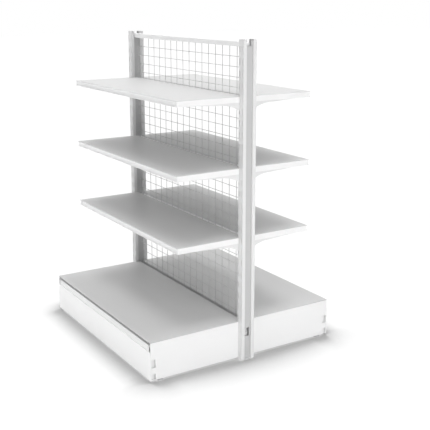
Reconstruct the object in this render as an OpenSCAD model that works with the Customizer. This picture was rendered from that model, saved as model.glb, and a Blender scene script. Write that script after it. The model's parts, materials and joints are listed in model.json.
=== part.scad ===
// Double-sided gondola shelving bay: two slotted uprights, a wire mesh back,
// a raised base with decks and kick plates, and three shelves on each side.
// X runs along the bay, Y across it (front aisle at -Y), Z up from the floor.

/* [Bay] */
// Distance between the centre lines of the two uprights
bay_pitch = 1000; // [700:10:1400]
// Height of the uprights' top above the floor
upright_top = 1385; // [1350:5:2000]
// Height of the legs' and kick plates' lower edge above the floor
floor_gap = 9; // [8.5:0.5:15]
// Height of the uprights' lower end above the floor
upright_gap = 4; // [4:0.5:12]

/* [Upright] */
// Upright size along the bay
upright_x = 35; // [32:1:50]
// Upright size across the bay
upright_y = 65; // [60:1:90]
// Depth of the groove in each of the two broad faces
groove_depth = 10; // [6:0.5:11]
// Width of the groove in each of the two broad faces
groove_width = 33; // [32:0.5:38]
// Wall of the roll-formed upright
upright_wall = 2; // [1.5:0.1:3]
// Thickness of the plate that closes the foot of the upright
sole_plate = 6; // [4:0.5:10]
// Distance of each slot column from the upright's centre line
slot_offset = 10.8; // [10:0.1:12]
// Width of one slot
slot_width = 3.6; // [3.4:0.1:5]
// Height of one slot
slot_height = 26; // [25:1:34]
// Distance from one slot to the next up the upright
slot_pitch = 50; // [50:25:75]
// Height of the lowest slot's lower edge above the floor
slot_first = 32; // [30:1:40]
// Width of the rail openings in the groove floor
rail_slot_width = 22; // [20:0.5:24]
// Height of the open-topped rail opening below the upright's top
rail_slot_top_height = 28; // [26:1:34]
// Height of the lower rail opening's bottom edge above the floor
rail_slot_low = 108; // [106:1:115]
// Height of the lower rail opening
rail_slot_low_height = 38; // [34:1:42]

/* [Rails] */
// Size of both rails across the bay
rail_y = 25; // [20:1:30]
// Height of the top rail
rail_top_height = 20; // [18:1:30]
// Distance of the top rail's upper face below the upright's top
rail_top_drop = 11; // [8:1:13]
// Height of the bottom rail's upper face above the floor
rail_low_face = 145; // [140:1:150]
// Height of the bottom rail
rail_low_height = 40; // [34:1:50]
// Sheet of both rails
rail_sheet = 1.5; // [1.2:0.1:2]
// Thickness of the plates that close the rails' ends
rail_end_plate = 2; // [1.5:0.1:3]
// Height of the hook necks on the rails' ends
rail_neck_height = 14; // [10:1:17]
// Width of the hooks on the rails' ends
rail_hook_width = 20; // [12:0.5:20]

/* [Mesh] */
// Distance between two upright wires
wire_pitch_x = 56; // [40:1:70]
// Distance between two level wires
wire_pitch_z = 42.7; // [30:0.1:60]
// Radius of one wire
wire_r = 1.25; // [1:0.05:2]
// How far two crossing wires are pressed into each other by the weld
wire_weld = 0.2; // [0.1:0.05:0.4]
// Distance of the mesh's last upright wire from the upright
wire_edge_gap = 6.5; // [4:0.5:12]
// How far the level wires stand out past the last upright wires
wire_overhang = 2; // [1.5:0.5:4]

/* [Base] */
// Distance from the middle of the bay to the kick plate's face
base_half = 465; // [350:5:620]
// Height of the deck's top above the floor
deck_top = 176; // [168:1:220]
// Sheet of the decks
deck_sheet = 2; // [1.5:0.1:3]
// Height of the deck's whole front edge, from the deck's top down
deck_lip = 42; // [36:1:48]
// Height of the bead along the deck's front edge
deck_bead = 3; // [2.5:0.5:6]
// Depth of the label channel under that bead
deck_channel = 10; // [6:0.5:14]
// Height of the label channel's opening
deck_channel_height = 10; // [8:0.5:14]
// Distance that the wall below the channel stands back behind the bead and the kick plate
deck_set = 2; // [1:0.5:3]
// Depth of the wall's lower edge, folded in under the deck
deck_hem = 12; // [6:1:20]
// Gap between the wall's end and the leg's outer face, where the deck's corner is open
deck_lip_gap = 14; // [8:0.5:18]
// Sheet of the legs
leg_sheet = 2.5; // [2:0.1:3]
// Width of the legs' folded upper and lower flanges
leg_flange = 22.5; // [18:0.5:30]
// Width of the two windows near the leg's front edge
window_width = 18; // [12:1:22]
// Distance from the kick plate's face to those windows
window_inset = 6; // [5:0.5:12]
// Height of the upper window
window_height = 36; // [20:1:44]
// Height of the upper window's lower edge above the floor
window_high = 64; // [56:1:70]
// Height of the lower window's upper edge above the floor
window_low = 38; // [30:1:44]
// Sheet of the kick plates
kick_sheet = 2; // [1.5:0.1:2.5]
// Gap between the kick plate's upper edge and the deck's wall
kick_gap = 0.5; // [0.5:0.5:4]
// Gap between the kick plate's folded ends and the legs
kick_side_gap = 5; // [0.5:0.5:8]
// Depth of the kick plate's folded ends and edges
kick_return = 25; // [15:1:30]

/* [Shelves] */
// Heights of the shelves' tops above the floor, lowest first
shelf_tops = [554, 854, 1154];
// Distance from the middle of the bay to the shelves' front edge
shelf_half = 335; // [250:5:450]
// Sheet of the shelves
shelf_sheet = 1.5; // [1.2:0.1:2]
// Height of the shelves' front lip and side flanges
shelf_lip = 25; // [22:1:40]
// Height of the bead above the label channel
shelf_bead = 2; // [1.5:0.5:6]
// Height of the small lip that closes the channel's lower side
shelf_toe = 4; // [3:0.5:6]
// Depth of the label channel in the front lip
shelf_channel = 4; // [3:0.5:6]
// Half the gap between the two sides' back edges, for the mesh
mesh_gap_half = 9; // [7:0.5:14]
// Gap between the shelves or decks and the uprights
notch_gap = 2; // [1:0.5:5]
// Depth of the folded stiffeners under shelves and decks
stiffener_drop = 14; // [10:1:20]
// Width of those stiffeners
stiffener_width = 40; // [30:1:80]

/* [Brackets] */
// Sheet of the brackets
bracket_sheet = 2.5; // [2:0.1:3]
// Depth of the bracket below the shelf's top at the upright
bracket_root = 60; // [56:1:62]
// Depth of the bracket where its curve meets its straight part
bracket_mid = 33; // [30:1:40]
// Distance of that place from the upright's face
bracket_curve = 88; // [60:1:120]
// Depth of the bracket at its tip
bracket_tip = 22; // [16:1:23]
// Depth of the hook's neck lower edge below the shelf's top
hook_seat = 22; // [22:1:22]
// Height of the hooks' necks
hook_neck = 14; // [10:1:16]
// How far the hooks' teeth reach down behind the wall
hook_drop = 10; // [8:1:12]

/* [Feet] */
// Radius of the legs' foot pads
pad_r = 14; // [12:0.5:16]
// Radius of the uprights' foot pads
pad_wide_r = 15; // [14:0.5:16]
// Height of the pads
pad_height = 5.5; // [5:0.5:7]
// Radius of the adjusting screws
screw_r = 4; // [3:0.5:4.5]
// Radius of the adjusting screws' holes
screw_hole_r = 4.3; // [3.3:0.1:4.9]
// Height of the adjusting screws' upper end
screw_top = 45; // [40:1:60]
// Distance across the corners of the pads' spanner flats, halved
spanner_r = 7.5; // [6:0.5:9]
// Distance from the leg's foot to the kick plate's face
foot_inset = 50; // [42:1:90]
// Distance from the leg's outer face to its foot's middle
foot_side = 13.5; // [12:0.5:16]
// Height of the welded nut above the leg's lower flange
weld_nut = 6.5; // [5:0.5:8]

/* [Hidden] */
$fn = 48;
clear = 0.3;
through = 1;
hook_tooth = 2.5;
hook_play = 0.2;
tip_gap = 1.5;
side_fold_gap = 3;

half = bay_pitch / 2;
upright_in = half - upright_x / 2;
groove_floor = half - upright_x / 2 + groove_depth;
face_y = upright_y / 2;
slot_x = half - slot_offset;
leg_out = slot_x + leg_sheet / 2;
leg_in = slot_x - leg_sheet / 2;
bracket_out = slot_x + bracket_sheet / 2;
bracket_in = slot_x - bracket_sheet / 2;
flange_in = bracket_out + clear;
shelf_end = flange_in + shelf_sheet;
notch_x = upright_in - notch_gap;
notch_y = face_y + notch_gap;
slot_count = floor((upright_top - slot_first - slot_height) / slot_pitch) + 1;

rail_top_face = upright_top - rail_top_drop;
rail_top_under = rail_top_face - rail_top_height;
rail_slot_top = upright_top - rail_slot_top_height;

wire_y_up = (wire_r * 2 - wire_weld) / 2;
wire_last_x = upright_in - wire_edge_gap;
wire_columns = floor(wire_last_x * 2 / wire_pitch_x) + 1;
wire_start_x = -(wire_columns - 1) * wire_pitch_x / 2;
wire_low_end = rail_low_face;
wire_high_end = rail_top_face - rail_sheet;
wire_rows = floor((rail_top_under - wire_low_end - wire_r) / wire_pitch_z);

deck_under = deck_top - deck_sheet;
deck_low = deck_top - deck_lip;
leg_top = deck_under - clear;
leg_front = base_half - kick_sheet - clear;
kick_top = deck_low - kick_gap;
kick_in = leg_in - kick_side_gap - kick_sheet;
deck_wall_y = base_half - deck_set;
deck_floor_y = base_half - deck_channel;
deck_ledge = deck_top - deck_bead - deck_channel_height;
shelf_wall_y = shelf_half - shelf_channel;
bracket_tip_y = shelf_wall_y - shelf_sheet - tip_gap;
foot_x = leg_out - foot_side;
foot_y = base_half - foot_inset;

// A box between two corners
module slab(from, to) {
  translate(from) cube([to[0] - from[0], to[1] - from[1], to[2] - from[2]]);
}

// Everything is drawn at the +X, +Y corner and mirrored to the other three
module at_corner(near, front) {
  if (near && front) {
    mirror([0, 1, 0]) children();
  } else if (near) {
    children();
  } else if (front) {
    mirror([1, 0, 0]) mirror([0, 1, 0]) children();
  } else {
    mirror([1, 0, 0]) children();
  }
}

module at_side(front) {
  if (front) {
    mirror([0, 1, 0]) children();
  } else {
    children();
  }
}

// Uprights
module slot_columns() {
  for (side = [-1, 1]) {
    for (row = [0 : slot_count - 1]) {
      slot_z = slot_first + row * slot_pitch;
      slab([side * slot_offset - slot_width / 2, -face_y - through, slot_z],
        [side * slot_offset + slot_width / 2, face_y + through, slot_z + slot_height]);
    }
  }
}

module upright() {
  strip = (upright_y - groove_width) / 2;
  web_half = upright_x / 2 - groove_depth;
  hollow_z = upright_gap + sole_plate;
  color("white")
  difference() {
    slab([-upright_x / 2, -face_y, upright_gap], [upright_x / 2, face_y, upright_top]);
    // The groove in each broad face
    for (side = [0, 1]) {
      mirror([side, 0, 0])
      slab([web_half, -groove_width / 2, upright_gap - through],
        [upright_x / 2 + through, groove_width / 2, upright_top + through]);
    }
    // The hollow inside: one tube behind each narrow face, joined by the web
    for (side = [0, 1]) {
      mirror([0, side, 0])
      slab([-upright_x / 2 + upright_wall, face_y - strip + upright_wall, hollow_z],
        [upright_x / 2 - upright_wall, face_y - upright_wall, upright_top + through]);
    }
    slab([-web_half + upright_wall, -face_y + strip - through, hollow_z],
      [web_half - upright_wall, face_y - strip + through, upright_top + through]);
    slab([-web_half + upright_wall, -face_y + strip - through, hollow_z],
      [web_half - upright_wall, -face_y + strip + upright_wall + through, upright_top + through]);
    slab([-web_half + upright_wall, face_y - strip - through, hollow_z],
      [web_half - upright_wall, face_y - strip + upright_wall + through, upright_top + through]);
    slot_columns();
    // The openings that take the rails' hooks
    slab([-web_half - through, -rail_slot_width / 2, rail_slot_top],
      [web_half + through, rail_slot_width / 2, upright_top + through]);
    slab([-web_half - through, -rail_slot_width / 2, rail_slot_low],
      [web_half + through, rail_slot_width / 2, rail_slot_low + rail_slot_low_height]);
    // The hole for the adjusting screw
    translate([0, 0, upright_gap - through])
    cylinder(r = screw_hole_r, h = sole_plate + through * 2);
  }
}

module upright_near() {
  translate([half, 0, 0]) upright();
}

module upright_far() {
  translate([-half, 0, 0]) upright();
}

// Rails
module rail_hook(seat) {
  tooth_x = groove_floor + upright_wall + hook_play;
  slab([groove_floor - rail_end_plate, -rail_hook_width / 2, seat],
    [tooth_x + hook_tooth, rail_hook_width / 2, seat + rail_neck_height]);
  slab([tooth_x, -rail_hook_width / 2, seat - hook_drop],
    [tooth_x + hook_tooth, rail_hook_width / 2, seat + through]);
}

// A folded channel, open below, with a closed and hooked end at each upright
module rail(low, high, seat) {
  color("white")
  union() {
    difference() {
      slab([-groove_floor, -rail_y / 2, low], [groove_floor, rail_y / 2, high]);
      slab([-groove_floor + rail_end_plate, -rail_y / 2 + rail_sheet, low - through],
        [groove_floor - rail_end_plate, rail_y / 2 - rail_sheet, high - rail_sheet]);
    }
    for (side = [0, 1]) {
      mirror([side, 0, 0]) rail_hook(seat);
    }
  }
}

module top_rail() {
  rail(rail_top_under, rail_top_face, rail_slot_top);
}

module bottom_rail() {
  rail(rail_low_face - rail_low_height, rail_low_face, rail_slot_low);
}

// Mesh back
module mesh_panel() {
  level_end = -wire_start_x + wire_overhang;
  color("white")
  union() {
    for (column = [0 : wire_columns - 1]) {
      translate([wire_start_x + column * wire_pitch_x, wire_y_up, wire_low_end])
      cylinder(r = wire_r, h = wire_high_end - wire_low_end);
    }
    for (row = [1 : wire_rows]) {
      translate([-level_end, -wire_y_up, rail_top_under - row * wire_pitch_z])
      rotate([0, 90, 0])
      cylinder(r = wire_r, h = level_end * 2);
    }
  }
}

// Legs of the base
module slot_hook(x_in, x_out, seat) {
  tooth_y = face_y - upright_wall - hook_play;
  slab([x_in, tooth_y - hook_tooth, seat], [x_out, face_y + through, seat + hook_neck]);
  slab([x_in, tooth_y - hook_tooth, seat - hook_drop], [x_out, tooth_y, seat + through]);
}

module leg() {
  flange_x = leg_out - leg_flange;
  window_far = base_half - window_inset;
  window_near = window_far - window_width;
  upper_flange_front = deck_floor_y - deck_sheet - clear;
  color("white")
  difference() {
    union() {
      slab([leg_in, face_y, floor_gap], [leg_out, leg_front, leg_top]);
      slab([flange_x, notch_y, leg_top - leg_sheet], [leg_out, upper_flange_front, leg_top]);
      slab([flange_x, notch_y, floor_gap], [leg_out, leg_front, floor_gap + leg_sheet]);
      for (row = [0 : 2]) {
        slot_hook(leg_in, leg_out, slot_first + row * slot_pitch);
      }
      // The welded nut for the adjusting screw
      translate([foot_x, foot_y, floor_gap + leg_sheet / 2])
      cylinder(r = spanner_r, h = leg_sheet / 2 + weld_nut, $fn = 6);
    }
    translate([foot_x, foot_y, floor_gap - through])
    cylinder(r = screw_hole_r, h = leg_sheet + weld_nut + through * 2);
    slab([leg_in - through, window_near, window_high],
      [leg_out + through, window_far, window_high + window_height]);
    slab([leg_in - through, window_near, floor_gap - through],
      [leg_out + through, window_far, window_low]);
  }
}

module leg_front_near() { at_corner(true, true) leg(); }
module leg_front_far() { at_corner(false, true) leg(); }
module leg_rear_near() { at_corner(true, false) leg(); }
module leg_rear_far() { at_corner(false, false) leg(); }

// Kick plates
module kick() {
  return_y = base_half - kick_return;
  return_low = floor_gap + leg_sheet + clear;
  color("white")
  union() {
    slab([-leg_out, base_half - kick_sheet, floor_gap], [leg_out, base_half, kick_top]);
    slab([-kick_in, return_y, kick_top - kick_sheet], [kick_in, base_half, kick_top]);
    slab([-kick_in + leg_flange, return_y, floor_gap],
      [kick_in - leg_flange, base_half, floor_gap + kick_sheet]);
    for (side = [0, 1]) {
      mirror([side, 0, 0])
      slab([kick_in, return_y, return_low], [kick_in + kick_sheet, base_half, kick_top]);
    }
  }
}

module kick_front() { at_side(true) kick(); }
module kick_rear() { at_side(false) kick(); }

// Decks
module stiffener(under, drop, from_y, to_y, sheet) {
  for (side = [0, 1]) {
    mirror([side, 0, 0])
    slab([stiffener_width / 2 - sheet, from_y, under - drop],
      [stiffener_width / 2, to_y, under]);
  }
  slab([-stiffener_width / 2, from_y, under - drop],
    [stiffener_width / 2, to_y, under - drop + sheet]);
}

module deck() {
  lip_x = leg_out - deck_lip_gap;
  side_x = leg_out - leg_flange - side_fold_gap;
  color("white")
  union() {
    slab([-leg_out, notch_y, deck_under], [leg_out, base_half - deck_sheet, deck_top]);
    slab([-notch_x, mesh_gap_half, deck_under], [notch_x, notch_y, deck_top]);
    // The front edge: a bead, the channel's floor and ledge, the wall below, and its hem,
    // which ends short of the legs' flanges so that the deck lifts past them
    slab([-lip_x, base_half - deck_sheet, deck_top - deck_bead], [lip_x, base_half, deck_top]);
    slab([-lip_x, deck_floor_y - deck_sheet, deck_ledge - deck_sheet],
      [lip_x, deck_floor_y, deck_under]);
    slab([-lip_x, deck_floor_y - deck_sheet, deck_ledge - deck_sheet],
      [lip_x, deck_wall_y, deck_ledge]);
    slab([-lip_x, deck_wall_y - deck_sheet, deck_low], [lip_x, deck_wall_y, deck_ledge]);
    slab([-side_x, deck_wall_y - deck_hem, deck_low], [side_x, deck_wall_y, deck_low + deck_sheet]);
    // The folded back and side edges
    slab([-notch_x, mesh_gap_half, rail_low_face + clear],
      [notch_x, mesh_gap_half + deck_sheet, deck_under]);
    for (side = [0, 1]) {
      mirror([side, 0, 0])
      slab([side_x - deck_sheet, notch_y, deck_under - stiffener_drop],
        [side_x, deck_floor_y - deck_sheet, deck_under]);
    }
    stiffener(deck_under, stiffener_drop, mesh_gap_half, deck_floor_y - deck_sheet, deck_sheet);
  }
}

module deck_front() { at_side(true) deck(); }
module deck_rear() { at_side(false) deck(); }

// Shelves
module shelf() {
  under = -shelf_sheet;
  color("white")
  union() {
    slab([-shelf_end, notch_y, under], [shelf_end, shelf_half, 0]);
    slab([-notch_x, mesh_gap_half, under], [notch_x, notch_y, 0]);
    // The label channel along the front: bead, back wall, floor and toe
    slab([-shelf_end, shelf_half - shelf_sheet, -shelf_bead], [shelf_end, shelf_half, 0]);
    slab([-shelf_end, shelf_wall_y - shelf_sheet, -shelf_lip], [shelf_end, shelf_wall_y, 0]);
    slab([-shelf_end, shelf_wall_y - shelf_sheet, -shelf_lip],
      [shelf_end, shelf_half, -shelf_lip + shelf_sheet]);
    slab([-shelf_end, shelf_half - shelf_sheet, -shelf_lip],
      [shelf_end, shelf_half, -shelf_lip + shelf_toe]);
    // The folded sides and back
    for (side = [0, 1]) {
      mirror([side, 0, 0])
      slab([flange_in, notch_y, -shelf_lip], [shelf_end, shelf_wall_y, 0]);
    }
    slab([-notch_x, mesh_gap_half, -stiffener_drop],
      [notch_x, mesh_gap_half + shelf_sheet, 0]);
    stiffener(under, stiffener_drop - shelf_sheet, mesh_gap_half, shelf_wall_y - shelf_sheet, shelf_sheet);
  }
}

module placed_shelf(front, level) {
  translate([0, 0, shelf_tops[level]]) at_side(front) shelf();
}

module shelf_front_low() { placed_shelf(true, 0); }
module shelf_front_mid() { placed_shelf(true, 1); }
module shelf_front_top() { placed_shelf(true, 2); }
module shelf_rear_low() { placed_shelf(false, 0); }
module shelf_rear_mid() { placed_shelf(false, 1); }
module shelf_rear_top() { placed_shelf(false, 2); }

// Brackets
// The lower edge curves down to the upright on a circle that leaves
// the straight part level and passes through the bracket's lowest corner
module bracket() {
  top = -shelf_sheet - clear;
  rise = bracket_root - bracket_mid;
  curve_r = (bracket_curve * bracket_curve + rise * rise) / (2 * rise);
  curve_y = face_y + bracket_curve;
  steady_low = hook_seat + slot_pitch - hook_neck;
  color("white")
  union() {
    difference() {
      slab([bracket_in, face_y, -bracket_root], [bracket_out, curve_y, top]);
      translate([bracket_in - through, curve_y, -bracket_mid - curve_r])
      rotate([0, 90, 0])
      cylinder(r = curve_r, h = bracket_sheet + through * 2, $fn = 180);
    }
    translate([bracket_in, 0, 0])
    rotate([90, 0, 90])
    linear_extrude(height = bracket_sheet)
    polygon([[curve_y - through, top], [bracket_tip_y, top],
      [bracket_tip_y, -bracket_tip], [curve_y, -bracket_mid],
      [curve_y - through, -bracket_mid]]);
    slot_hook(bracket_in, bracket_out, -hook_seat);
    // The steadying tongue in the slot below
    slab([bracket_in, face_y - upright_wall - hook_tooth, -steady_low],
      [bracket_out, face_y + through, -steady_low + hook_neck / 2]);
  }
}

module placed_bracket(near, front, level) {
  translate([0, 0, shelf_tops[level]]) at_corner(near, front) bracket();
}

module bracket_front_low_near() { placed_bracket(true, true, 0); }
module bracket_front_low_far() { placed_bracket(false, true, 0); }
module bracket_front_mid_near() { placed_bracket(true, true, 1); }
module bracket_front_mid_far() { placed_bracket(false, true, 1); }
module bracket_front_top_near() { placed_bracket(true, true, 2); }
module bracket_front_top_far() { placed_bracket(false, true, 2); }
module bracket_rear_low_near() { placed_bracket(true, false, 0); }
module bracket_rear_low_far() { placed_bracket(false, false, 0); }
module bracket_rear_mid_near() { placed_bracket(true, false, 1); }
module bracket_rear_mid_far() { placed_bracket(false, false, 1); }
module bracket_rear_top_near() { placed_bracket(true, false, 2); }
module bracket_rear_top_far() { placed_bracket(false, false, 2); }

// Levelling feet
module foot(r, height) {
  color("gray")
  union() {
    cylinder(r = r, h = height);
    cylinder(r = screw_r, h = screw_top);
  }
}

module leg_foot(near, front) {
  at_corner(near, front) translate([foot_x, foot_y, 0])
  union() {
    foot(pad_r, pad_height);
    cylinder(r = spanner_r, h = floor_gap - clear, $fn = 6);
  }
}

module foot_front_near() { leg_foot(true, true); }
module foot_front_far() { leg_foot(false, true); }
module foot_rear_near() { leg_foot(true, false); }
module foot_rear_far() { leg_foot(false, false); }
module foot_upright_near() { translate([half, 0, 0]) foot(pad_wide_r, upright_gap - clear); }
module foot_upright_far() { translate([-half, 0, 0]) foot(pad_wide_r, upright_gap - clear); }

upright_near();
upright_far();
top_rail();
bottom_rail();
mesh_panel();
leg_front_near();
leg_front_far();
leg_rear_near();
leg_rear_far();
kick_front();
kick_rear();
deck_front();
deck_rear();
shelf_front_low();
shelf_front_mid();
shelf_front_top();
shelf_rear_low();
shelf_rear_mid();
shelf_rear_top();
bracket_front_low_near();
bracket_front_low_far();
bracket_front_mid_near();
bracket_front_mid_far();
bracket_front_top_near();
bracket_front_top_far();
bracket_rear_low_near();
bracket_rear_low_far();
bracket_rear_mid_near();
bracket_rear_mid_far();
bracket_rear_top_near();
bracket_rear_top_far();
foot_front_near();
foot_front_far();
foot_rear_near();
foot_rear_far();
foot_upright_near();
foot_upright_far();
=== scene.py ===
# %% [markdown]
# # A shop gondola bay in white powder coat
# The object is a double-sided shelving bay for a shop floor. The solids come from the packed
# frame, at their real size in metres, X along the bay, Y across it and Z up. Here each of them
# gets its finish, every solid is modelled again as it would be cut and folded, and a plain
# studio is put round them.

# %% Load the frame
import json
import math
import bpy
import bmesh
from mathutils import Matrix, Vector


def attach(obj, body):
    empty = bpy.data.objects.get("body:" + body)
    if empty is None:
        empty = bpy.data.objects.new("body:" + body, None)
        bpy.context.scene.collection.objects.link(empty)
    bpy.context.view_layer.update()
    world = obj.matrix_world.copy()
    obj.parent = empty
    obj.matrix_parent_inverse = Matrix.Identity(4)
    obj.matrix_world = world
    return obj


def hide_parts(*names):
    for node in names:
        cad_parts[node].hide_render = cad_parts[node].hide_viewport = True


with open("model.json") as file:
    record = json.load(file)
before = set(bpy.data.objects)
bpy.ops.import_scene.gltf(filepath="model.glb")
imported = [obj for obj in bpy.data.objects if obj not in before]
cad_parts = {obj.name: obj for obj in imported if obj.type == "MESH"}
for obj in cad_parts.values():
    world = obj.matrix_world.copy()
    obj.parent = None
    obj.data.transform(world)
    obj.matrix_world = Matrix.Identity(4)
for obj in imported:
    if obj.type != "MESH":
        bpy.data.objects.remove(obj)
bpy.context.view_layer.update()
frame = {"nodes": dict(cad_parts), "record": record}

bodies = frame["record"]["behaviour"]["bodies"]
body_of = {node: body for body, nodes in bodies.items() for node in nodes}

# %% [markdown]
# ## Writing shader maths as plain expressions
# A material's pattern is arithmetic on sockets. The small class below wraps one socket, so that
# `speckle * 0.2 + 0.9` adds its Math nodes by itself. Everything else goes through `node`,
# which takes a node's type, its settings and its inputs.

# %% A socket that can be added and multiplied
class Wire:
    """One output socket of a material, on which arithmetic adds Math nodes."""

    def __init__(self, paint, socket):
        self.paint = paint
        self.socket = socket

    def _math(self, operation, a, b):
        return self.paint.node("ShaderNodeMath", {"operation": operation}, {0: a, 1: b})

    def __add__(self, other): return self._math("ADD", self, other)
    def __radd__(self, other): return self._math("ADD", other, self)
    def __sub__(self, other): return self._math("SUBTRACT", self, other)
    def __rsub__(self, other): return self._math("SUBTRACT", other, self)
    def __mul__(self, other): return self._math("MULTIPLY", self, other)
    def __rmul__(self, other): return self._math("MULTIPLY", other, self)
    def size(self): return self._math("ABSOLUTE", self, 0.0)
    def modulo(self, other): return self._math("MODULO", self, other)
    def at_least(self, other): return self._math("MAXIMUM", self, other)
    def at_most(self, other): return self._math("MINIMUM", self, other)
    def from_0_to_1(self): return self.at_least(0.0).at_most(1.0)


class Paint:
    """One node material, with a Principled shader already wired to its output."""

    def __init__(self, name):
        self.material = bpy.data.materials.new(name)
        self.material.use_nodes = True
        self.tree = self.material.node_tree
        self.shader = self.tree.nodes["Principled BSDF"]
        self.place = self.node("ShaderNodeTexCoord", {}, {}, "Object")

    def node(self, kind, settings, inputs, output=0):
        """Add one node, set it up, feed its inputs and wrap the output that is wanted."""
        made = self.tree.nodes.new(kind)
        for key, value in settings.items():
            setattr(made, key, value)
        for key, value in inputs.items():
            self.feed(made.inputs[key], value)
        return Wire(self, made.outputs[output])

    def feed(self, socket, value):
        """Link a wire to an input, or write a plain value on it."""
        if isinstance(value, Wire):
            self.tree.links.new(value.socket, socket)
        else:
            socket.default_value = value

    def along(self, axis):
        """One coordinate of the place on the object, in metres."""
        return self.node("ShaderNodeSeparateXYZ", {}, {0: self.place}, axis)

    def noise(self, scale, detail, rough):
        """A cloudy pattern from 0 to 1, finer with a larger scale."""
        return self.node("ShaderNodeTexNoise", {},
                         {"Vector": self.place, "Scale": scale,
                          "Detail": detail, "Roughness": rough}, "Fac")

    def mix(self, amount, low, high):
        """A colour between two. The Mix node has its colours at inputs 6 and 7 and output 2."""
        return self.node("ShaderNodeMix", {"data_type": "RGBA"},
                         {0: amount, 6: low, 7: high}, 2)

    def bump(self, height, strength, distance):
        """A surface normal that follows a pattern of small heights."""
        return self.node("ShaderNodeBump", {},
                         {"Strength": strength, "Distance": distance, "Height": height}, "Normal")

    def set(self, **values):
        """Feed the shader's own sockets, with an underscore for each space in their names."""
        for key, value in values.items():
            self.feed(self.shader.inputs[key.replace("_", " ")], value)


def grey(level, tint=0.0):
    """A grey, a little cooler where the tint is above 0."""
    return (level - tint, level, level + tint, 1.0)

# %% [markdown]
# ## The white powder coat
# Powder is baked on as a thick, slightly pebbled skin. Seen close it has a fine orange peel,
# a little unevenness in its gloss, and a faint greying where hands and goods rub. The orange
# peel goes to a Bump node, the rest to colour and roughness. Shade is painted into the coat as
# well: the uprights' grooves are painted an even grey, as shade in a recess, and the tops of the
# shelves and decks are painted darker than the lips along their edges, the decks most of all
# towards the aisle, as painted shade.

# %% Where shade is painted into the coat, and where it is rubbed
POST_MIDDLE = 0.5        # metres along X to the middle of an upright
WEB_REACH = 0.0095       # from there to a little past the floor of its groove
GROOVE_REACH = 0.0172    # a little more than half the groove's width
AISLE_SHADE_FROM = 0.18        # metres from the middle of the bay where the painted shade on the tops begins to deepen towards the aisle
AISLE_SHADE_RISE = 4.0         # per metre, so that the painted shade is full a quarter of a metre further out
RUBBED_SHARE = 0.10      # how much of the rubbed colour shows
RUBBED_DROP = 0.10       # how much darker that colour is
MASK_RISE = 1000.0       # per metre, so that a mask goes from 0 to 1 within a millimetre


def groove_shade_mask(paint):
    """1 on the uprights' webs, where grey shade is painted, and 0 elsewhere."""
    from_middle = (paint.along("X").size() - POST_MIDDLE).size()
    near_web = ((WEB_REACH - from_middle) * MASK_RISE).from_0_to_1()
    inside = ((GROOVE_REACH - paint.along("Y").size()) * MASK_RISE).from_0_to_1()
    return near_web * inside


def on_top(paint, first, pitch, depth):
    """1 on flat tops at the height `first` and every `pitch` above it, 0 from `depth` below."""
    from_top = ((paint.along("Z") - (first - pitch / 2)).modulo(pitch) - pitch / 2).size()
    return ((depth - from_top) * MASK_RISE).from_0_to_1()


def shaded_top_colour(paint, cloud, rubbed, inner, outer):
    """The white of a top with shade painted in, from `inner` behind to `outer` along the aisle,
    with rubbed scuffs over it.
    """
    # Painted shade: the top's white darkens from `inner` to `outer` towards the aisle.
    aisle_ward = ((paint.along("Y").size() - AISLE_SHADE_FROM) * AISLE_SHADE_RISE).from_0_to_1()
    dull = paint.mix(aisle_ward * 0.9 + cloud * 0.1, grey(inner), grey(outer))
    return paint.mix(rubbed * RUBBED_SHARE, dull, grey(outer - RUBBED_DROP))

# %% White powder coat for the sheet pieces
def powder_coat(name, level, peel, groove=None, top=None):
    """White at one level, with its orange peel. `groove` is the grey painted as shade in the
    uprights' grooves; `top` gives where the tops lie and the two levels of shade painted on them."""
    paint = Paint(name)
    cloud = paint.noise(2.2, 4.0, 0.55)
    grain = paint.noise(900.0, 2.0, 0.5)
    scuff = paint.noise(38.0, 6.0, 0.7)
    rubbed = ((scuff - 0.62) * 6.0).from_0_to_1()
    base = paint.mix(cloud, grey(level - 0.012, 0.002), grey(level + 0.012, -0.001))
    colour = paint.mix(rubbed * RUBBED_SHARE, base, grey(level - RUBBED_DROP))
    # Painted shade: the uprights' grooves are painted a flat grey, as shade in a recess.
    if groove:
        groove_shade = paint.mix(cloud, grey(groove - 0.01, 0.002), grey(groove + 0.01))
        colour = paint.mix(groove_shade_mask(paint), colour, groove_shade)
    # Painted shade: the flat tops are given a darker white than the rest of the piece.
    if top:
        top_with_shade = shaded_top_colour(paint, cloud, rubbed, top["inner"], top["outer"])
        top_mask = on_top(paint, top["first"], top["pitch"], top["depth"])
        colour = paint.mix(top_mask, colour, top_with_shade)
    paint.set(Base_Color=colour, Roughness=cloud * 0.10 + rubbed * 0.08 + 0.40,
              Normal=paint.bump(grain, peel, 0.0004))
    paint.set(IOR=1.5, Specular_IOR_Level=0.20)
    return paint.material


SHEET_PEEL, WIRE_PEEL = 0.25, 0.15
# Painted shade: the tops are painted darker than their lips, the deck's most towards the aisle; on
# the deck it also covers the bead and label channel under its edge.
deck_top_shade = {"first": 0.176, "pitch": 1.0, "depth": 0.0165, "inner": 0.68, "outer": 0.54}
shelf_top_shade = {"first": 0.554, "pitch": 0.3, "depth": 0.002, "inner": 0.615, "outer": 0.60}
# The posts' white at 0.82 and the wire's at 0.62 are the same powder set greyer: partly their
# colour, partly painted shade for the uprights and for the wires between the shelves.
deck_white = powder_coat("white_deck_coat", 0.86, SHEET_PEEL, top=deck_top_shade)
shelf_white = powder_coat("white_shelf_coat", 0.93, SHEET_PEEL, top=shelf_top_shade)
# Painted shade: 0.60 is the grey painted in the posts' grooves.
post_white = powder_coat("white_post_coat", 0.82, SHEET_PEEL, groove=0.60)
base_white = powder_coat("white_base_coat", 0.93, SHEET_PEEL)
wire_white = powder_coat("white_wire_coat", 0.62, WIRE_PEEL)
print("powder coats", [coat.name for coat in
                       (deck_white, shelf_white, post_white, base_white, wire_white)])

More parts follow.
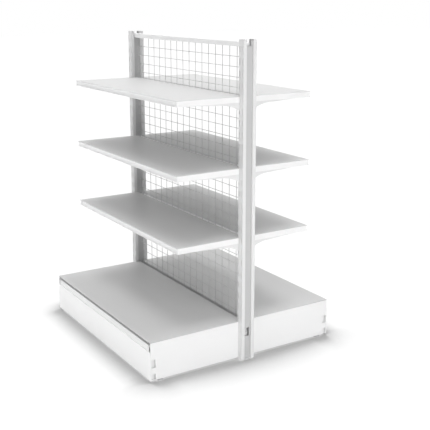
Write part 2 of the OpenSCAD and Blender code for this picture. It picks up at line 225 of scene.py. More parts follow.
# %% [markdown]
# ## The zinc of the levelling feet
# The feet are plated steel, dull and slightly mottled, with a fine grain left by the turning.

# %% Dull zinc
def dull_zinc(name):
    paint = Paint(name)
    mottle = paint.noise(120.0, 5.0, 0.6)
    grain = paint.noise(1500.0, 1.0, 0.5)
    colour = paint.mix(mottle, grey(0.62, 0.004), grey(0.76, 0.006))
    paint.set(Base_Color=colour, Metallic=0.55, Roughness=mottle * 0.2 + 0.42,
              Normal=paint.bump(grain, 0.2, 0.0002))
    return paint.material


foot_zinc = dull_zinc("dull_zinc")
print("zinc", foot_zinc.name)

# %% Give every solid its finish
FINISHES = {"shelf": shelf_white, "deck": deck_white, "upright": post_white,
            "bracket": post_white, "leg": base_white, "kick": base_white, "top": base_white,
            "bottom": base_white, "mesh": wire_white, "foot": foot_zinc}


def finish_for(node):
    """The finish of one solid, or of the piece that stands for it, by the name's first word."""
    return FINISHES[node.split("_")[0]]


for name, solid in frame["nodes"].items():
    solid.data.materials.clear()
    solid.data.materials.append(finish_for(name))
print("finished", len(frame["nodes"]), "solids")

# %% [markdown]
# ## Working sheet metal by hand
# Nearly every piece of a gondola is cut flat from sheet, folded on a press and coated. It is
# modelled in the same order: a plane is laid at the size of the first panel, scored with bisect
# where an outline changes, trimmed by deleting faces, and folded by extruding an edge once for
# each panel. A Bevel modifier then rounds the folds and Solidify gives the sheet its gauge.
# A cube cut down to shape would give sharp corners and no folds at all. Sizes are in
# millimetres from here on, measured from the middle of the bay and the floor.

# %% Laying, scoring and trimming a sheet
MM = 0.001       # one millimetre in metres
CLOSE = 0.02     # two places this close are the same


def bake():
    """Put the object's place, turn and size into its mesh."""
    bpy.ops.object.transform_apply(location=True, rotation=True, scale=True)


def lay_sheet(name, low, high):
    """Lay one flat panel between two corners and open it for editing."""
    size = [b - a for a, b in zip(low, high)]
    middle = [(a + b) / 2 * MM for a, b in zip(low, high)]
    turn, across = (0, 0, 0), (size[0], size[1])
    if size[0] == 0:
        turn, across = (0, math.radians(90), 0), (size[2], size[1])
    elif size[1] == 0:
        turn, across = (math.radians(-90), 0, 0), (size[0], size[2])
    bpy.ops.object.select_all(action="DESELECT")
    bpy.ops.mesh.primitive_plane_add(size=MM, location=middle, rotation=turn)
    sheet = bpy.context.object
    sheet.name = name
    sheet.scale = (across[0], across[1], 1)
    bake()
    bpy.ops.object.mode_set(mode="EDIT")
    return sheet


def score(axis, *places):
    """Mark lines across the whole sheet, so that an outline can change there."""
    for place in places:
        spot = [0.0, 0.0, 0.0]
        spot[axis] = place * MM
        bpy.ops.mesh.select_all(action="SELECT")
        bpy.ops.mesh.bisect(plane_co=spot, plane_no=[float(i == axis) for i in range(3)])


def pick(kind, passes):
    """Select the faces whose middle, or the edges or corners whose ends, pass the test."""
    bpy.ops.mesh.select_mode(type={"faces": "FACE", "edges": "EDGE", "verts": "VERT"}[kind])
    bpy.ops.mesh.select_all(action="DESELECT")
    net = bmesh.from_edit_mesh(bpy.context.object.data)
    for part in getattr(net, kind):
        if kind == "verts":
            spots = [part.co]
        elif kind == "edges":
            spots = [v.co for v in part.verts]
        else:
            spots = [part.calc_center_median()]
        if all(passes(*(s / MM)) for s in spots):
            part.select_set(True)
    bmesh.update_edit_mesh(bpy.context.object.data)


def trim(passes):
    """Delete the faces whose middle passes the test."""
    pick("faces", passes)
    bpy.ops.mesh.delete(type="FACE")


def at(a, b):
    return abs(a - b) < CLOSE


def within(a, low, high):
    return low - CLOSE < a < high + CLOSE

# %% Folding an edge and giving the sheet its gauge
FOLD_ANGLE, RIM_ANGLE = 40, 50    # degrees: what counts as a fold, and as a cut edge


def fold(*steps):
    """Extrude the selected edges once for each step."""
    for step in steps:
        bpy.ops.mesh.extrude_region_move(TRANSFORM_OT_translate={"value": [s * MM for s in step]})


def use(name, kind, **settings):
    """Add one modifier to the piece in hand and apply it."""
    piece = bpy.context.object
    modifier = piece.modifiers.new(name, kind)
    for key, value in settings.items():
        setattr(modifier, key, value)
    bpy.ops.object.modifier_apply(modifier=name)


def soften(rim, smooth=35):
    """Break the cut edges, and shade what turns by less than `smooth` degrees as one surface."""
    use("rim", "BEVEL", width=rim * MM, segments=1,
        limit_method="ANGLE", angle_limit=math.radians(RIM_ANGLE))
    bpy.ops.object.shade_smooth_by_angle(angle=math.radians(smooth))


def press(gauge, bend, rim=0.25, hole=None):
    """Close the edit: round the folds, thicken the sheet inwards and break its cut edges."""
    bpy.ops.object.mode_set(mode="OBJECT")
    if bend:
        use("folds", "BEVEL", width=bend * MM, segments=3,
            limit_method="ANGLE", angle_limit=math.radians(FOLD_ANGLE))
    use("gauge", "SOLIDIFY", thickness=gauge * MM, offset=-1.0, use_even_offset=True)
    if hole:
        drill(*hole)
    soften(rim)

# %% Round bars, holes and joined parts
def bar(sides, radius, length, middle, turn=(0, 0, 0)):
    """A cylinder along Z, or along another way when it is turned."""
    bpy.ops.object.select_all(action="DESELECT")
    bpy.ops.mesh.primitive_cylinder_add(vertices=sides, radius=radius * MM, depth=length * MM,
                                        location=[m * MM for m in middle], rotation=turn)
    bake()
    return bpy.context.object


def drill(x, y, low, high, radius):
    """Bore one round upright hole through the piece in hand."""
    piece = bpy.context.object
    bit = bar(32, radius, high - low, (x, y, (low + high) / 2))
    bpy.context.view_layer.objects.active = piece
    use("hole", "BOOLEAN", object=bit, operation="DIFFERENCE", solver="EXACT")
    bpy.data.objects.remove(bit)


def mirror_along_x(part):
    """Mirror a part's mesh and turn its faces outwards again."""
    part.data.transform(Matrix.Diagonal((-1, 1, 1, 1)))
    part.data.flip_normals()


def join(keep, *others):
    """Weld the others to the first, which stays the piece in hand."""
    bpy.ops.object.select_all(action="DESELECT")
    for part in others:
        part.select_set(True)
    keep.select_set(True)
    bpy.context.view_layer.objects.active = keep
    bpy.ops.object.join()
    return keep

# %% Placing copies of a finished piece
def place(model, node, slot, mirror_x=False, mirror_y=False, move=(0, 0, 0)):
    """Copy a model to one node's place, with its own mesh, and let it stand for that node."""
    piece = model.copy()
    piece.data = model.data.copy()
    piece.name = node + "_piece"
    piece.data.name = piece.name
    bpy.context.scene.collection.objects.link(piece)
    turned = Matrix.Diagonal((-1 if mirror_x else 1, -1 if mirror_y else 1, 1, 1))
    piece.data.transform(Matrix.Translation([m * MM for m in move]) @ turned)
    if mirror_x != mirror_y:
        piece.data.flip_normals()
    piece.data.materials.clear()
    piece.data.materials.append(finish_for(node))
    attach(piece, body_of[node])
    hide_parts(node)
    return piece


def put_away(model):
    """Say how fine the model is, and remove it once its copies are in place."""
    print(model.name, "faces", len(model.data.polygons))
    bpy.data.objects.remove(model)


def quarters():
    """The bay's four quarters: two words of a node's name, and which ways a copy is mirrored."""
    for near in (True, False):
        for front in (True, False):
            yield "front" if front else "rear", "near" if near else "far", not near, front

# %% [markdown]
# ## Shelf trays
# A shelf is one sheet: a flat top notched round the uprights, a front edge folded five times into
# a bead and a channel that holds price labels, and ends, back and a hat-shaped stiffener turned
# down below. The fold path along the front is extruded edge by edge, which is how a press brake
# makes it. All six shelves are copies, three of them mirrored.

# %% The shelf's top and its folds
BACK = 9                           # the back edge of a shelf or deck
NOTCH_X, NOTCH_Y = 480.5, 34.5     # past the one and before the other, a sheet is cut away
SHELF_END, SHELF_FRONT = 492.25, 335
SHELF_GAUGE = 1.5
END_FLANGE_STOP = 329.5            # the end flanges stop short of the front channel


def cut_notches():
    """Cut a sheet's back corners away, beside the uprights."""
    trim(lambda x, y, z: abs(x) > NOTCH_X and y < NOTCH_Y)


shelf = lay_sheet("shelf", (-SHELF_END, BACK, 0), (SHELF_END, SHELF_FRONT, 0))
score(0, -NOTCH_X, NOTCH_X)
score(1, NOTCH_Y, END_FLANGE_STOP)
cut_notches()
pick("edges", lambda x, y, z: at(y, SHELF_FRONT))
fold((0, 0, -2), (0, -4, 0), (0, 0, -21.5), (0, 2.5, 0), (0, 0, 2.5))
for side in (-1, 1):
    pick("edges", lambda x, y, z: (at(x, side * SHELF_END) and at(z, 0)
                                   and within(y, NOTCH_Y, END_FLANGE_STOP)))
    fold((0, 0, -25))
pick("edges", lambda x, y, z: at(y, BACK))
fold((0, 0, -14))
press(SHELF_GAUGE, 0.9)
print("shelf faces before its stiffener", len(shelf.data.polygons))

# %% The stiffener under it
HAT_HALF = 20     # half the width of a stiffener


def stiffener(low, high, drop, gauge):
    """A hat section along Y whose sides stand against the sheet above."""
    hat = lay_sheet("stiffener", (-HAT_HALF, low, -drop), (HAT_HALF, high, -drop))
    for side in (-1, 1):
        pick("edges", lambda x, y, z: at(x, side * HAT_HALF))
        fold((0, 0, drop - gauge))
    pick("faces", lambda x, y, z: True)
    bpy.ops.mesh.flip_normals()
    press(gauge, 1.5)
    return hat


join(shelf, stiffener(low=11, high=328.5, drop=14, gauge=SHELF_GAUGE))
SHELF_HEIGHTS = {"low": 554, "mid": 854, "top": 1154}
for level, height in SHELF_HEIGHTS.items():
    place(shelf, "shelf_rear_" + level, "shelf_white", move=(0, 0, height))
    place(shelf, "shelf_front_" + level, "shelf_white", mirror_y=True, move=(0, 0, height))
put_away(shelf)

# %% [markdown]
# ## Brackets
# Each shelf hangs on two flat brackets whose hooks drop into the slots of the uprights. The
# plate is laid on edge, scored into narrow strips near the upright, and the lower corners are
# lifted onto the curve. The hooks grow out of its short edge, as they would be left by a die.

# %% Hooks that drop into a slot
WALL = 32.5                               # the uprights' faces that pieces hook into
END_FACE = 490.45                         # the outer faces of brackets and legs
HOOK_HEIGHT, NECK, TOOTH, TOOTH_DROP = 14, 2.2, 2.5, 10
PLATE_GAUGE = 2.5


def grow_hook(seat):
    """Grow one hook from the short edge at the wall, with its underside at this height."""
    pick("edges", lambda x, y, z: at(y, WALL) and within(z, seat, seat + HOOK_HEIGHT))
    fold((0, -NECK, 0), (0, -TOOTH, 0))
    pick("edges", lambda x, y, z: y < WALL - NECK + CLOSE and at(z, seat))
    fold((0, 0, -TOOTH_DROP))

# %% The bracket plate
BRACKET_TIP, BRACKET_TOP, BRACKET_FOOT = 328, -1.8, -60
CURVE, STRIPS = 88, 14                    # the curved part's length, and the strips it is cut in
CURVE_TOP, TIP_FOOT = -33, -22            # heights of the lower edge past the curve
HOOK_SEAT, TONGUE_TOP, TONGUE_FOOT = -22, -51, -58
bracket = lay_sheet("bracket", (END_FACE, WALL, BRACKET_FOOT),
                    (END_FACE, BRACKET_TIP, BRACKET_TOP))
score(1, *[WALL + CURVE * i / STRIPS for i in range(1, STRIPS + 1)])
score(2, HOOK_SEAT, HOOK_SEAT + HOOK_HEIGHT, TONGUE_TOP, TONGUE_FOOT)
rise = CURVE_TOP - BRACKET_FOOT
curve_radius = (CURVE ** 2 + rise ** 2) / (2 * rise)
curve_end = WALL + CURVE
print("bracket curve radius %.1f mm" % curve_radius)


def lower_edge(y):
    """Height of the lower edge: an arc from the wall, then a straight rise to the tip."""
    if y > curve_end:
        return CURVE_TOP + (TIP_FOOT - CURVE_TOP) * (y - curve_end) / (BRACKET_TIP - curve_end)
    return CURVE_TOP - curve_radius + math.sqrt(curve_radius ** 2 - (curve_end - y) ** 2)

# %% Its curve, hook and tongue
net = bmesh.from_edit_mesh(bracket.data)
for corner in net.verts:
    limit = lower_edge(corner.co.y / MM)
    if corner.co.z / MM < limit:
        corner.co.z = limit * MM
bmesh.update_edit_mesh(bracket.data)
bpy.ops.mesh.select_all(action="SELECT")
bpy.ops.mesh.remove_doubles(threshold=0.01 * MM)
bpy.ops.mesh.dissolve_degenerate(threshold=0.01 * MM)
grow_hook(HOOK_SEAT)
pick("edges", lambda x, y, z: at(y, WALL) and within(z, TONGUE_FOOT, TONGUE_TOP))
fold((0, -4.5, 0))
press(PLATE_GAUGE, bend=0)
for level, height in SHELF_HEIGHTS.items():
    for side, end, mirror_x, mirror_y in quarters():
        place(bracket, "bracket_%s_%s_%s" % (side, level, end), "shelf_white",
              mirror_x, mirror_y, (0, 0, height))
put_away(bracket)

# %% [markdown]
# ## Decks
# The deck is the lowest shelf, of thicker sheet. Under the bead of its front edge runs a label
# channel, which the photograph shows as a dark line; below it the wall drops almost level with
# the kick plate's face. The wall stops short of the corners, where the deck lies on the end
# plates, and its hem is shorter still, so that the deck lifts past the legs' flanges.

# %% The deck's top and its folds
# The deck's bead and label channel share the darker white painted on its top, so their dark line
# is partly painted shade.
DECK_TOP, DECK_EDGE = 176, 463
FRONT_END, HEM_END = 476.45, 464.95       # where the front wall stops, and its hem
BEAD, CHANNEL, DECK_WALL = 3, 10, 29      # heights of the three parts of the front edge
BASE_GAUGE, BASE_BEND = 2, 1.2
deck = lay_sheet("deck", (-END_FACE, BACK, DECK_TOP), (END_FACE, DECK_EDGE, DECK_TOP))
score(0, -NOTCH_X, -FRONT_END, -HEM_END, HEM_END, FRONT_END, NOTCH_X)
score(1, NOTCH_Y)
cut_notches()
pick("edges", lambda x, y, z: at(y, DECK_EDGE) and within(x, -FRONT_END, FRONT_END))
fold((0, 2, 0), (0, 0, -BEAD), (0, -10, 0), (0, 0, -CHANNEL), (0, 8, 0), (0, 0, -DECK_WALL))
wall_foot = DECK_TOP - BEAD - CHANNEL - DECK_WALL
pick("edges", lambda x, y, z: at(z, wall_foot) and within(x, -HEM_END, HEM_END))
fold((0, -12, 0))
pick("edges", lambda x, y, z: at(y, BACK))
fold((0, 0, -30.7))
press(BASE_GAUGE, BASE_BEND)
print("deck wall reaches down to", wall_foot, "mm")

# %% Its stiffeners
STIFFENER_FRONT, SIDE_FOOT = 452, 160
under_top = DECK_TOP - BASE_GAUGE
strip = lay_sheet("side_strip", (HEM_END, 36, SIDE_FOOT), (HEM_END, STIFFENER_FRONT, under_top))
pick("edges", lambda x, y, z: at(z, under_top))
fold((-12, 0, 0))
press(BASE_GAUGE, 1.5)
other_strip = strip.copy()
other_strip.data = strip.data.copy()
bpy.context.scene.collection.objects.link(other_strip)
mirror_along_x(other_strip)
hat = stiffener(low=11.5, high=STIFFENER_FRONT, drop=16, gauge=BASE_GAUGE)
hat.data.transform(Matrix.Translation((0, 0, DECK_TOP * MM)))
join(deck, strip, other_strip, hat)
place(deck, "deck_rear", "shelf_white")
place(deck, "deck_front", "shelf_white", mirror_y=True)
put_away(deck)

# %% [markdown]
# ## Kick plates
# A kick plate closes the gap under the deck. Its face is a little wider than the folds behind
# it, so that it covers the front edges of the legs, and its ends are folded back to grip them.

# %% The kick plate's face and returns
BASE_FOOT = 9                             # the base's sheets end this far above the floor
KICK_FACE, KICK_TOP = 465, 133.5
KICK_GRIP, KICK_SHELF = 482.95, 458.45    # half the length of the upper fold and of the lower
RELIEF = 462                              # a line beside the lower fold, where its bend ends
kick = lay_sheet("kick", (-END_FACE, KICK_FACE, BASE_FOOT), (END_FACE, KICK_FACE, KICK_TOP))
score(0, -KICK_GRIP, -RELIEF, -KICK_SHELF, KICK_SHELF, RELIEF, KICK_GRIP)
pick("edges", lambda x, y, z: at(z, KICK_TOP) and within(x, -KICK_GRIP, KICK_GRIP))
fold((0, -2, 0), (0, -23, 0))
for side in (-1, 1):
    pick("edges", lambda x, y, z: (at(x, side * KICK_GRIP) and at(z, KICK_TOP)
                                   and y < KICK_FACE - 2 + CLOSE))
    fold((0, 0, -121.7))
pick("edges", lambda x, y, z: at(z, BASE_FOOT) and within(x, -KICK_SHELF, KICK_SHELF))
fold((0, -25, 0))
press(BASE_GAUGE, BASE_BEND)
place(kick, "kick_rear", "shelf_white")
place(kick, "kick_front", "shelf_white", mirror_y=True)
put_away(kick)

# %% [markdown]
# ## Legs of the base
# Each leg is a channel on edge whose web is the white end plate. It hooks into the upright, has
# two windows punched near its outer end, and carries a nut under its lower flange.

# %% The leg's web, windows and flanges
LEG_TOP, LEG_TIP = 173.7, 462.7
FLANGE_FROM, TOP_FLANGE_TO = 34.5, 452.7
WINDOW_FROM, WINDOW_TO = 441, 459         # the windows' two sides
LOW_WINDOW_TOP, WINDOW_FOOT, WINDOW_TOP = 38, 64, 100
HOOK_SEATS = (32, 82, 132)
FLANGE_STEP = 3.5                         # the lower flange's first panel, beside the window
FOOT_X, FOOT_Y, SCREW_HOLE = 476.95, 415, 4.3
leg = lay_sheet("leg", (END_FACE, WALL, BASE_FOOT), (END_FACE, LEG_TIP, LEG_TOP))
score(1, FLANGE_FROM, WINDOW_FROM, TOP_FLANGE_TO, WINDOW_TO)
hook_lines = [seat + up for seat in HOOK_SEATS for up in (0, HOOK_HEIGHT)]
score(2, *sorted([LOW_WINDOW_TOP, WINDOW_FOOT, WINDOW_TOP] + hook_lines))
trim(lambda x, y, z: (WINDOW_FROM < y < WINDOW_TO
                      and (WINDOW_FOOT < z < WINDOW_TOP or z < LOW_WINDOW_TOP)))
for seat in HOOK_SEATS:
    grow_hook(seat)
pick("edges", lambda x, y, z: at(z, LEG_TOP) and within(y, FLANGE_FROM, TOP_FLANGE_TO))
fold((-22.5, 0, 0))
pick("edges", lambda x, y, z: (at(z, BASE_FOOT) and at(x, END_FACE)
                               and (within(y, FLANGE_FROM, WINDOW_FROM)
                                    or within(y, WINDOW_TO, LEG_TIP))))
fold((-FLANGE_STEP, 0, 0), (-19, 0, 0))
pick("edges", lambda x, y, z: (at(z, BASE_FOOT) and x < END_FACE - FLANGE_STEP + CLOSE
                               and (at(y, WINDOW_FROM) or at(y, WINDOW_TO))))
bpy.ops.mesh.bridge_edge_loops()
press(PLATE_GAUGE, 1.8, hole=(FOOT_X, FOOT_Y, 8, 14, SCREW_HOLE))
print("leg faces before its nut", len(leg.data.polygons))

# %% The welded nut
HEXAGON_RADIUS, CHAMFER_IN, CHAMFER_DOWN = 7.5, 0.7, 0.3


def hexagon(x, y, low, high, bored):
    """A six-sided block whose two ends are chamfered by an inset pulled inwards."""
    block = bar(6, HEXAGON_RADIUS, high - low, (x, y, (low + high) / 2), (0, 0, math.radians(90)))
    bpy.ops.object.mode_set(mode="EDIT")
    for end, inward in ((low, CHAMFER_DOWN), (high, -CHAMFER_DOWN)):
        pick("faces", lambda fx, fy, fz: at(fz, end))
        bpy.ops.mesh.inset(thickness=CHAMFER_IN * MM, depth=0)
        pick("edges", lambda fx, fy, fz: (at(fz, end)
                                          and math.hypot(fx - x, fy - y) > HEXAGON_RADIUS - 0.3))
        bpy.ops.transform.translate(value=(0, 0, inward * MM))
    bpy.ops.object.mode_set(mode="OBJECT")
    if bored:
        drill(x, y, low - 1, high + 1, SCREW_HOLE)
    soften(0.2)
    return block


join(leg, hexagon(FOOT_X, FOOT_Y, 10.25, 18, bored=True))
for side, end, mirror_x, mirror_y in quarters():
    place(leg, "leg_%s_%s" % (side, end), "shelf_white", mirror_x, mirror_y)
put_away(leg)

# %% [markdown]
# ## Uprights
# The uprights are roll-formed, so their section is one outline all the way up: two tubes joined
# by a web, which leaves a groove in each broad face. One length with a pair of slots is modelled,
# an Array repeats it at the pitch of the slots, and the plain ends are extruded on.

# %% One length of the section
POST_HALF, WEB_HALF, GROOVE_HALF, OPENING_HALF = 17.5, 7.5, 16.5, 11
SLOT_FROM, SLOT_TO = 9, 12.6              # the two sides of a slot column
FIRST, SLOT_PITCH, SLOT_HEIGHT, SLOTS = 20, 50, 26, 27
PLAIN = (SLOT_PITCH - SLOT_HEIGHT) / 2    # the plain part below and above a slot
upright = lay_sheet("upright", (-POST_HALF, -WALL, FIRST), (POST_HALF, WALL, FIRST))
score(0, -SLOT_TO, -SLOT_FROM, -WEB_HALF, WEB_HALF, SLOT_FROM, SLOT_TO)
score(1, -GROOVE_HALF, -OPENING_HALF, OPENING_HALF, GROOVE_HALF)
trim(lambda x, y, z: abs(x) > WEB_HALF and abs(y) < GROOVE_HALF)
bpy.ops.mesh.select_all(action="SELECT")
bpy.ops.mesh.region_to_loop()
fold((0, 0, PLAIN), (0, 0, SLOT_HEIGHT), (0, 0, PLAIN))
trim(lambda x, y, z: at(z, FIRST))
trim(lambda x, y, z: (at(z, FIRST + SLOT_PITCH / 2) and abs(y) > WALL - 0.5
                      and SLOT_FROM < abs(x) < SLOT_TO))
bpy.ops.mesh.select_all(action="SELECT")
bpy.ops.mesh.normals_make_consistent(inside=False)
bpy.ops.object.mode_set(mode="OBJECT")
use("slots", "ARRAY", count=SLOTS, use_relative_offset=False, use_constant_offset=True,
    constant_offset_displace=(0, 0, SLOT_PITCH * MM), use_merge_vertices=True,
    merge_threshold=0.05 * MM)
print("slots in a column", SLOTS)

# %% Its plain ends and the openings for the rails
POST_AT, SOLE, POST_TOP = 500, 4, 1385
LOW_OPENING, HIGH_OPENING = (108, 146), 1357
last = FIRST + SLOTS * SLOT_PITCH
bpy.ops.object.mode_set(mode="EDIT")
pick("edges", lambda x, y, z: at(z, last))
fold((0, 0, POST_TOP - last))
pick("edges", lambda x, y, z: at(z, FIRST))
fold((0, 0, SOLE - FIRST))
score(2, *LOW_OPENING, HIGH_OPENING)
trim(lambda x, y, z: (at(abs(x), WEB_HALF) and abs(y) < OPENING_HALF
                      and (z > HIGH_OPENING or LOW_OPENING[0] < z < LOW_OPENING[1])))
pick("edges", lambda x, y, z: at(z, SOLE))
bpy.ops.mesh.edge_face_add()
bpy.ops.mesh.select_all(action="SELECT")
bpy.ops.mesh.normals_make_consistent(inside=False)
press(2, 2.2, 0.2, hole=(0, 0, 2, 8, SCREW_HOLE))
place(upright, "upright_near", "shelf_white", move=(POST_AT, 0, 0))
place(upright, "upright_far", "shelf_white", mirror_x=True, move=(-POST_AT, 0, 0))
put_away(upright)

# %% [markdown]
# ## Rails
# Two channels, open below, join the uprights at the top and in the base. Their ends are folded
# down and carry a hook that drops into the opening in the upright's web.

# %% A rail and its hooks
RAIL_END, RAIL_HALF = 492.5, 12.5
RAIL_HOOK_MIDDLE, RAIL_HOOK_LENGTH, RAIL_HOOK_WIDTH = 493.85, 6.7, 20
RAIL_TOOTH_FROM = 494.7


def end_hook(seat):
    """A block for the neck, scored where the tooth begins and extruded down there."""
    bpy.ops.object.select_all(action="DESELECT")
    bpy.ops.mesh.primitive_cube_add(size=MM, location=(RAIL_HOOK_MIDDLE * MM, 0,
                                                       (seat + HOOK_HEIGHT / 2) * MM))
    hook = bpy.context.object
    hook.scale = (RAIL_HOOK_LENGTH, RAIL_HOOK_WIDTH, HOOK_HEIGHT)
    bake()
    bpy.ops.object.mode_set(mode="EDIT")
    score(0, RAIL_TOOTH_FROM)
    pick("faces", lambda x, y, z: at(z, seat) and x > RAIL_TOOTH_FROM)
    fold((0, 0, -TOOTH_DROP))
    bpy.ops.object.mode_set(mode="OBJECT")
    soften(0.4)
    return hook


def rail(name, low, high, seat):
    """One channel between two heights, whose hooks sit on the openings' lower edge."""
    channel = lay_sheet(name, (-RAIL_END, -RAIL_HALF, high), (RAIL_END, RAIL_HALF, high))
    for side in (-1, 1):
        pick("edges", lambda x, y, z: at(y, side * RAIL_HALF) and at(z, high))
        fold((0, 0, low - high))
        pick("edges", lambda x, y, z: at(x, side * RAIL_END) and at(z, high))
        fold((0, 0, low - high))
    press(SHELF_GAUGE, 1.2)
    near, far = end_hook(seat), end_hook(seat)
    mirror_along_x(far)
    join(channel, near, far)
    place(channel, name, "wire_white")
    put_away(channel)


TOP_RAIL_FOOT = 1354
rail("top_rail", TOP_RAIL_FOOT, 1374, HIGH_OPENING)
rail("bottom_rail", 105, 145, LOW_OPENING[0])

# %% [markdown]
# ## The wire back
# The back is a welded mesh: eighteen upright wires with twenty-eight level ones across them,
# melted into each other a little where they cross. One wire of each kind is a cylinder whose
# ends are bevelled, and an Array lays out the rest.

# %% The wires
WIRE_RADIUS, OFF_CENTRE = 1.25, 1.15      # the two layers overlap by a fifth of a millimetre
COLUMNS, COLUMN_STEP = 18, 56
ROWS, ROW_STEP = 28, 42.7


def wires(name, length, middle, turn, count, step):
    """Lay `count` wires, the first round `middle` and each a step from the last."""
    wire = bar(12, WIRE_RADIUS, length, middle, turn)
    wire.name = name
    soften(0.3, 60)
    use("rows", "ARRAY", count=count, use_relative_offset=False, use_constant_offset=True,
        constant_offset_displace=[s * MM for s in step])
    return wire


upright_wires = wires("upright_wires", 1227.5, (-476, OFF_CENTRE, 758.75), (0, 0, 0),
                      COLUMNS, (COLUMN_STEP, 0, 0))
level_wires = wires("level_wires", 956, (0, -OFF_CENTRE, TOP_RAIL_FOOT - ROW_STEP),
                    (0, math.radians(90), 0), ROWS, (0, 0, -ROW_STEP))
mesh_back = join(upright_wires, level_wires)
place(mesh_back, "mesh_panel", "wire_white")
put_away(mesh_back)

# %% [markdown]
# ## Levelling feet
# Each foot is a pad pressed onto a screw, and the legs' feet have a hexagon for a spanner. The
# pad starts as a short cylinder whose top is inset and raised. The thread starts as a square on
# its corner; without its inner corner that is one tooth's outline, and a Screw modifier turns
# it up a helix, as a die does.

# %% The pad
PAD_RIM = 0.7       # share of the pad's height that its rim has
PAD_SLOPE = 0.32    # share of its radius that slopes up to the raised middle


def pad(radius, height):
    """A round pad whose middle is raised."""
    rim_height = height * PAD_RIM
    disc = bar(40, radius, rim_height, (0, 0, rim_height / 2))
    bpy.ops.object.mode_set(mode="EDIT")
    pick("faces", lambda x, y, z: at(z, rim_height))
    bpy.ops.mesh.inset(thickness=radius * PAD_SLOPE * MM)
    fold((0, 0, height * 0.3))
    bpy.ops.object.mode_set(mode="OBJECT")
    soften(0.4)
    return disc

# %% The thread and its core
THREAD_PITCH, CORE_RADIUS, TOOTH_AT = 1.25, 3.5, 3.4


def thread(low, high):
    """A helix of teeth between two heights, round a plain core."""
    turns = math.floor((high - low) / THREAD_PITCH) - 1
    bpy.ops.object.select_all(action="DESELECT")
    bpy.ops.mesh.primitive_plane_add(size=math.sqrt(2) * MM,
                                     location=(TOOTH_AT * MM, 0, (low + THREAD_PITCH / 2) * MM),
                                     rotation=(math.radians(90), math.radians(45), 0))
    screw = bpy.context.object
    bake()
    bpy.ops.object.mode_set(mode="EDIT")
    bpy.ops.mesh.select_all(action="SELECT")
    bpy.ops.transform.resize(value=(0.6, 1, THREAD_PITCH / 2))
    pick("verts", lambda x, y, z: x < TOOTH_AT - 0.1)
    bpy.ops.mesh.delete(type="VERT")
    bpy.ops.object.mode_set(mode="OBJECT")
    use("thread", "SCREW", screw_offset=THREAD_PITCH * MM, iterations=turns,
        steps=16, render_steps=16, use_merge_vertices=True, merge_threshold=0.01 * MM)
    core = bar(20, CORE_RADIUS, high - 0.5, (0, 0, (high + 0.5) / 2))
    soften(0.6)
    return join(screw, core)

# %% The feet in their places
SCREW_TOP = 44.5
leg_foot = join(pad(14, 5.5), hexagon(0, 0, 3.5, 8.7, bored=False), thread(8, SCREW_TOP))
for side, end, mirror_x, mirror_y in quarters():
    place(leg_foot, "foot_%s_%s" % (side, end), "foot_grey",
          move=(-FOOT_X if mirror_x else FOOT_X, -FOOT_Y if mirror_y else FOOT_Y, 0))
put_away(leg_foot)
upright_foot = join(pad(15, 3.7), thread(3, SCREW_TOP))
for end, x in (("near", POST_AT), ("far", -POST_AT)):
    place(upright_foot, "foot_upright_" + end, "foot_grey", move=(x, 0, 0))
put_away(upright_foot)

# %% [markdown]
# ## Floor, light and camera
# The studio is plain: a white floor, a lamp overhead within a much broader one, so that light
# falls off softly under each shelf, and low ones in front that light the upright faces and the
# lips. The floor that the camera and the reflections see is part paint and part glow, so that it
# runs out to white. The glow is taken back where the bay stands close over the floor, which
# keeps the soft shadow round its base. The shadow reaches further out past the end than into
# the aisle, and round the base's corners it is deepened, because half as much of the bay stands
# over a corner as over a side. Right under the base the glow comes back a little, as daylight
# creeps in there.

# %% The shadow round the base
BASE_X, BASE_Y = 0.50, 0.465     # metres from the middle to the base's end and to its aisle side
EDGE_RISE = 10.0                 # per metre, so that a zone on the floor blends over 10 cm
CORNER_GAIN = 0.5                # how much more the bay shades at a corner
UNDER_GLOW = 0.7                 # share of the glow that comes back under the base


def studio_shadow(paint, aisle, end):
    """How clear the floor is of the bay, from 0 to 1."""
    past_end = ((paint.along("X") - (BASE_X - 0.05)) * EDGE_RISE).from_0_to_1()
    reach, least = [past_end * (there - here) + here for here, there in zip(aisle, end)]
    open_sky = paint.node("ShaderNodeAmbientOcclusion", {"samples": 16}, {"Distance": reach}, "AO")
    beside = [((paint.along(axis).size() - edge) * EDGE_RISE + 1.0).from_0_to_1()
              for axis, edge in (("X", BASE_X), ("Y", BASE_Y))]
    corner_sky = 1.0 - (1.0 - open_sky) * (beside[0] * beside[1] * CORNER_GAIN + 1.0)
    clear = ((corner_sky - 0.5) * 2.0).at_least(0.0)
    clear = clear * (3.0 - clear * clear) * 0.5
    underneath = ((0.5 - open_sky) * 2.0).at_least(0.0)
    return clear.at_least(least) + underneath * UNDER_GLOW

# %% The floor
SEEN_RAYS = ("Is Camera Ray", "Is Glossy Ray", "Is Transmission Ray")


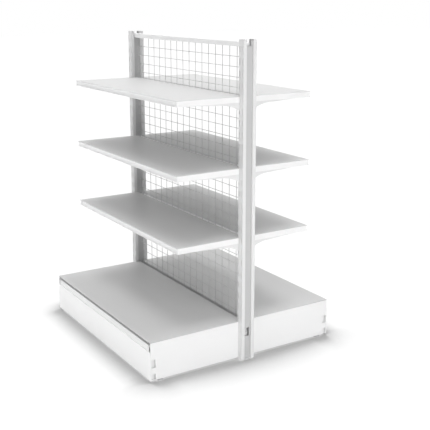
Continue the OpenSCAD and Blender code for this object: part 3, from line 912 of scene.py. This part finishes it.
def studio_floor(paint_level, seen_level, glow_level, aisle, end):
    """`aisle` and `end` each give the shadow's reach in metres and the glow left by the base."""
    bpy.ops.object.select_all(action="DESELECT")
    bpy.ops.mesh.primitive_plane_add(size=60.0, location=(0, 0, 0))
    floor = bpy.context.object
    floor.name = "studio_floor"
    paint = Paint("studio_floor")
    clear = studio_shadow(paint, aisle, end)
    sees = sum([paint.node("ShaderNodeLightPath", {}, {}, ray) for ray in SEEN_RAYS], 0.0)
    plain = paint.node("ShaderNodeBsdfDiffuse", {}, {"Color": grey(paint_level)})
    seen = paint.node("ShaderNodeBsdfDiffuse", {}, {"Color": grey(seen_level)})
    glow = paint.node("ShaderNodeEmission", {},
                      {"Color": grey(1.0), "Strength": clear * glow_level})
    lifted = paint.node("ShaderNodeAddShader", {}, {0: seen, 1: glow})
    both = paint.node("ShaderNodeMixShader", {}, {0: sees.at_most(1.0), 1: plain, 2: lifted})
    paint.feed(paint.tree.nodes["Material Output"].inputs["Surface"], both)
    floor.data.materials.append(paint.material)
    return floor


floor = studio_floor(0.8, 0.24, 0.76, aisle=(0.162, 0.30), end=(0.35, 0.16))
print("floor nodes", len(floor.data.materials[0].node_tree.nodes))

# %% The backdrop
def studio_backdrop(fill):
    """White where camera and reflections look past the floor, and a faint fill otherwise."""
    world = bpy.data.worlds.new("studio_backdrop")
    bpy.context.scene.world = world
    world.use_nodes = True
    tree = world.node_tree
    white = tree.nodes["Background"]
    white.inputs["Color"].default_value = grey(1.0)
    faint = tree.nodes.new("ShaderNodeBackground")
    faint.inputs["Color"].default_value = grey(1.0)
    faint.inputs["Strength"].default_value = fill
    path = tree.nodes.new("ShaderNodeLightPath")
    pick_one = tree.nodes.new("ShaderNodeMixShader")
    seen = path.outputs[SEEN_RAYS[0]]
    for ray in SEEN_RAYS[1:]:
        either = tree.nodes.new("ShaderNodeMath")
        either.operation = "MAXIMUM"
        tree.links.new(seen, either.inputs[0])
        tree.links.new(path.outputs[ray], either.inputs[1])
        seen = either.outputs[0]
    tree.links.new(seen, pick_one.inputs[0])
    tree.links.new(faint.outputs[0], pick_one.inputs[1])
    tree.links.new(white.outputs[0], pick_one.inputs[2])
    tree.links.new(pick_one.outputs[0], tree.nodes["World Output"].inputs["Surface"])


studio_backdrop(fill=0.02)
print("backdrop", bpy.context.scene.world.name)

# %% The lamps
def hang(name, kind):
    """A new lamp in the scene, and its data."""
    data = bpy.data.lights.new(name, kind)
    lamp = bpy.data.objects.new(name, data)
    bpy.context.scene.collection.objects.link(lamp)
    return lamp, data


def soft_sun(name, azimuth, elevation, strength, spread):
    """A broad lamp far away: azimuth is where its light comes from, from +X towards +Y."""
    lamp, data = hang(name, "SUN")
    data.energy = strength * math.pi
    data.angle = math.radians(spread)
    a, e = math.radians(azimuth), math.radians(elevation)
    source = Vector((math.cos(a) * math.cos(e), math.sin(a) * math.cos(e), math.sin(e)))
    lamp.rotation_euler = source.to_track_quat("Z", "Y").to_euler()


def soft_box(name, place, across, height, power):
    """A softbox by the floor that faces the base, and that the camera doesn't see."""
    lamp, data = hang(name, "AREA")
    data.shape = "RECTANGLE"
    data.size = across
    data.size_y = height
    data.energy = power
    lamp.location = place
    lamp.rotation_euler = (Vector(place) - Vector((0, 0, 0.2))).to_track_quat("Z", "Y").to_euler()
    lamp.visible_camera = False


for name, azimuth, elevation, strength, spread in (
        ("overhead", 0, 90, 0.53, 40), ("sky", 0, 90, 0.44, 110),
        ("high_corner", -45, 50, 0.110, 40), ("high_rear", 105, 62, 0.105, 40),
        ("low_aisle", -90, 4, 0.120, 30), ("low_end", -10, 4, 0.030, 30)):
    soft_sun(name, azimuth, elevation, strength, spread)
soft_box("end_box", (2.2, 0, 0.35), across=0.6, height=3.0, power=15.4)
soft_box("aisle_box", (0, -2.0, 0.35), across=3.0, height=0.6, power=6.2)

# %% The camera
FRAME_WIDTH, FOCAL = 430, 818.25      # both in pixels of the photograph
SENSOR = 36.0
LOOKS_DOWN, LOOKS_TOWARDS = 11.97, 57.65    # degrees below level, and from +Y towards -X
camera_data = bpy.data.cameras.new("photo_camera")
camera_data.sensor_width = SENSOR
camera_data.sensor_fit = "HORIZONTAL"
camera_data.lens = FOCAL / FRAME_WIDTH * SENSOR
camera_data.shift_y = -0.1
camera = bpy.data.objects.new("photo_camera", camera_data)
bpy.context.scene.collection.objects.link(camera)
camera.location = (3.2543, -1.9028, 1.5456)
camera.rotation_euler = (math.radians(90 - LOOKS_DOWN), 0, math.radians(LOOKS_TOWARDS))
bpy.context.scene.camera = camera
bpy.context.scene.view_settings.view_transform = "Standard"
print("camera lens %.2f mm" % camera_data.lens)
